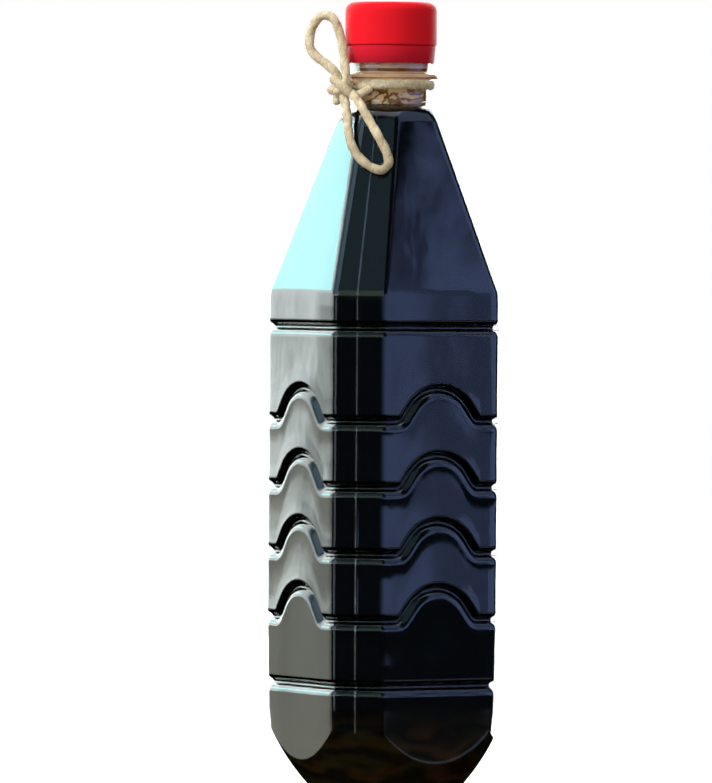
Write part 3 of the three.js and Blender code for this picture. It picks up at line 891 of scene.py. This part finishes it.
cap_profile = [(CAP_INNER_R, CAP_HOLLOW_Z), (CAP_INNER_R, CAP_Z + 0.2), (CAP_INNER_R + 0.2, CAP_Z)]
cap_profile += [(CAP_R - 0.35, CAP_Z), (CAP_R - 0.1, CAP_Z + 0.1), (CAP_R, CAP_Z + 0.35)]
cap_profile += [(CAP_R, z) for z in np.linspace(CAP_Z + 1, CAP_TOP_Z - CAP_CORNER_R, 8)]
for turn in np.radians(np.linspace(0, 90, 12))[1:]:
    cap_profile.append((
        CAP_R - CAP_CORNER_R * (1 - math.cos(turn)),
        CAP_TOP_Z - CAP_CORNER_R * (1 - math.sin(turn)),
    ))
cap_profile += [(CAP_R * share, CAP_TOP_Z) for share in (0.7, 0.5, 0.25)]
cap_rows = lathe_rows(cap_profile, CAP_SIDES)
cap_plastic = red_plastic("red_cap_plastic", CAP_RED, 0.42)
add_skin("screw_cap", cap_rows, CAP_HOLLOW_Z, CAP_TOP_Z, cap_plastic, "cap")

band = add_open_ring("tamper_ring", [
    (BAND_INNER_R, BAND_Z),
    (BAND_R - 0.3, BAND_Z),
    (BAND_R, BAND_Z + 0.3),
    (BAND_TOP_R, CAP_Z - 0.4),
    (BAND_TOP_R - 0.1, BAND_TOP_Z),
    (BAND_INNER_R, BAND_TOP_Z),
], CAP_SIDES, red_plastic("red_band_plastic", BAND_RED, 0.4))
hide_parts("tamper_band")


# Floor and light. A pale paper floor in a white room. The bottle's gloss mirrors a bright backdrop behind
# it, a window on the left that is cooler higher up, a dim blue side on the right, and the dark end of the
# room where the camera stands.
FLOOR_SIZE = 2.4
FLOOR_Z = -0.0002
FLOOR_GREY = (0.9, 0.9, 0.9)
FLOOR_WHITE = (0.93, 0.93, 0.93)
DEGREES = 180 / math.pi

paper = Finish(bpy.data.materials.new("pale_floor"))
paper_colour = paper.blend(paper.noise(paper.place(), 40, 2), FLOOR_GREY, FLOOR_WHITE)
paper.surface({
    "Base Color": paper_colour,
    "Roughness": 0.7,
    "Emission Color": paper_colour,
    "Emission Strength": 0.6,
})
floor_mesh = bpy.data.meshes.new("pale_floor")
corners = [(x * FLOOR_SIZE, y * FLOOR_SIZE, FLOOR_Z) for x, y in ((-1, -1), (1, -1), (1, 1), (-1, 1))]
floor_mesh.from_pydata(corners, [], [(0, 1, 2, 3)])
floor_mesh.materials.append(paper.owner)
floor = bpy.data.objects.new("pale_floor", floor_mesh)
bpy.context.scene.collection.objects.link(floor)
floor.visible_diffuse = False
floor.visible_glossy = False
floor.visible_transmission = False

room = bpy.data.worlds.new("studio")
bpy.context.scene.world = room
sky = Finish(room)
direction = sky.node("ShaderNodeTexCoord", output="Generated")


def along(axis):
    """How far a direction of the room points along an axis, from -1 to 1."""
    return sky.node("ShaderNodeVectorMath", {"operation": "DOT_PRODUCT"}, {0: direction, 1: axis}, "Value")


def between(value, low, high, soft):
    """1 between two values, fading over a soft border."""
    return value.step(low - soft, low + soft) * (1 - value.step(high - soft, high + soft))


def light_of(share, colour):
    """A colour times a share."""
    return sky.node("ShaderNodeVectorMath", {"operation": "SCALE"}, {0: colour, "Scale": share})


# The room's lights by direction: turn goes round from the camera to the right, and rise is above the horizon,
# both in degrees. Each light has a share, which says where it is and how strong, and a colour.
rise = along((0, 0, 1)).math("ARCSINE") * DEGREES
turn = along(TO_RIGHT).math("ARCTAN2", along(TO_CAMERA)) * DEGREES

backdrop = turn.step(132, 140) * rise.step(-15.6, -14.8) + (1 - turn.step(-150, -142)) * rise.step(-5, -3)

window_edge = turn - 20 - rise.step(3, 8) * 44 + rise.step(14, 30) * 10
window_width = turn.step(-152, -144) * (1 - window_edge.step(-100, -96))
window_width = window_width * (1 - between(turn, -84, -76, 3) * 0.7)
window_light = rise.step(-3.6, -2.6) * 0.3 + rise.step(-2.4, -1.2) * 1.8 + rise.step(-1.2, -0.2) * 1.7
window_light = window_light * (1 - rise.step(48, 60))
window_fall = rise.step(-3.2, -2.6) * 0.2 + rise.step(-1.2, -0.8) * 0.4
window_fall = window_fall - rise.step(0.3, 1.0) * 0.3 - rise.step(6, 10) * 0.3
window_sill = (1 - turn.step(-121.5, -119)) * between(rise, -2.6, -0.5, 0.4) * 0.3
window_fall = 1.1 - turn.step(-122.5, -117) * window_fall + window_sill
window = window_width * window_light * window_fall
window_near = turn.step(-104, -92) * rise.step(7, 12)
window_wall = window_width * window_fall * rise.step(-14, -5) * (1 - window_near)
window_blue = between(turn, -131, -117, 2) * between(rise, 13, 20, 1.5)
left_strip = between(turn, -64, -46, 3) * between(rise, -9, 3, 0.7)

right_end = 1 - turn.step(102, 114)
right_side = turn.step(-11, 50) * between(rise, -3.5, 12, 0.3)
right_side = right_side + turn.step(44, 56) * rise.step(10, 14) * (1 - rise.step(28.0, 31.0))
right_fall = 0.72 - turn.step(58, 61.8) * 0.34 + turn.step(63.4, 64.3) * 0.4
right_low = right_end * turn.step(40, 50) * between(rise, -30, -9, 3)
right_high = turn.step(44, 56) * right_end * between(rise, 33, 75, 2.0)
front = between(turn, -40, 20, 3)

room_lights = [
    (backdrop, (5.0, 5.2, 5.2)),
    (window * (1 - window_near), (0.88, 1.0, 1.02)),
    (window_wall, (1.12, 1.16, 0.98)),
    (left_strip, (0.9, 1.0, 1.05)),
    (window * window_near, (0.22, 0.33, 0.42)),
    (window_blue, (0.0, 3.8, 4.0)),
    (right_end * right_side * right_fall, (0.76, 1.05, 2.2)),
    (right_low, (0.30, 0.38, 0.52)),
    (right_high, (0.45, 0.60, 1.0)),
    (front * between(rise, 5, 31, 3), (0.5, 0.72, 0.56)),
    (front * between(rise, 33, 60, 3), (0.17, 0.30, 0.36)),
    (rise.step(60, 75), (1.3, 1.4, 1.5)),
    (rise.step(-12, -4), (0.02, 0.035, 0.05)),
]
mirrored = light_of(*room_lights[0])
for share, colour in room_lights[1:]:
    sockets = {0: mirrored, 1: light_of(share, colour)}
    mirrored = sky.node("ShaderNodeVectorMath", {"operation": "ADD"}, sockets)

# Gloss mirrors these lights, and matt surfaces get a plain soft light instead. Rays that come through the
# plastic get more of the soft light and less of the others. The camera sees plain white.
through = sky.node("ShaderNodeLightPath", output="Is Transmission Ray")
seen = sky.node("ShaderNodeLightPath", output="Is Camera Ray")
matt = sky.node("ShaderNodeLightPath", output="Diffuse Depth").step(0.4, 0.6)
soft_share = 0.6 - along(TO_RIGHT) * 0.3 + along((0, 0, 1)) * 0.35
soft_light = light_of(soft_share * (1 + through * 2.8), (1.0, 1.0, 0.99))
mirrored = light_of(1 - through * 0.8, mirrored)
room_light = sky.blend(seen, sky.blend(matt, mirrored, soft_light), (1.0, 1.0, 1.0))
background = sky.node("ShaderNodeBackground", {}, {"Color": room_light, "Strength": 1.0})
sky.node("ShaderNodeOutputWorld", {}, {"Surface": background})
room.cycles.sampling_method = "NONE"

# Key lamp. One soft square lamp stands high on the left and points at the bottle's shoulder. It lights the
# cap and the twine, and doesn't show in the gloss.
KEY_TURN = math.radians(-60)
KEY_RISE = math.radians(42)
KEY_DISTANCE = 1.2
KEY_AIM = Vector((0, 0, 0.18))
KEY_SIZE = 0.5
KEY_POWER = 11

key = bpy.data.lights.new("key_lamp", "AREA")
key.shape = "SQUARE"
key.size = KEY_SIZE
key.energy = KEY_POWER
key.color = (1.0, 0.99, 0.97)
key_lamp = bpy.data.objects.new("key_lamp", key)
bpy.context.scene.collection.objects.link(key_lamp)
level = TO_CAMERA * math.cos(KEY_TURN) + TO_RIGHT * math.sin(KEY_TURN)
key_way = level * math.cos(KEY_RISE) + Vector((0, 0, math.sin(KEY_RISE)))
key_lamp.location = KEY_AIM + key_way * KEY_DISTANCE
key_lamp.rotation_mode = "QUATERNION"
key_lamp.rotation_quaternion = (-key_way).to_track_quat("-Z", "Y")
key_lamp.visible_camera = False
key_lamp.visible_glossy = False
key_lamp.visible_transmission = False

bpy.context.scene.view_settings.view_transform = "Standard"
bpy.context.scene.view_settings.look = "None"
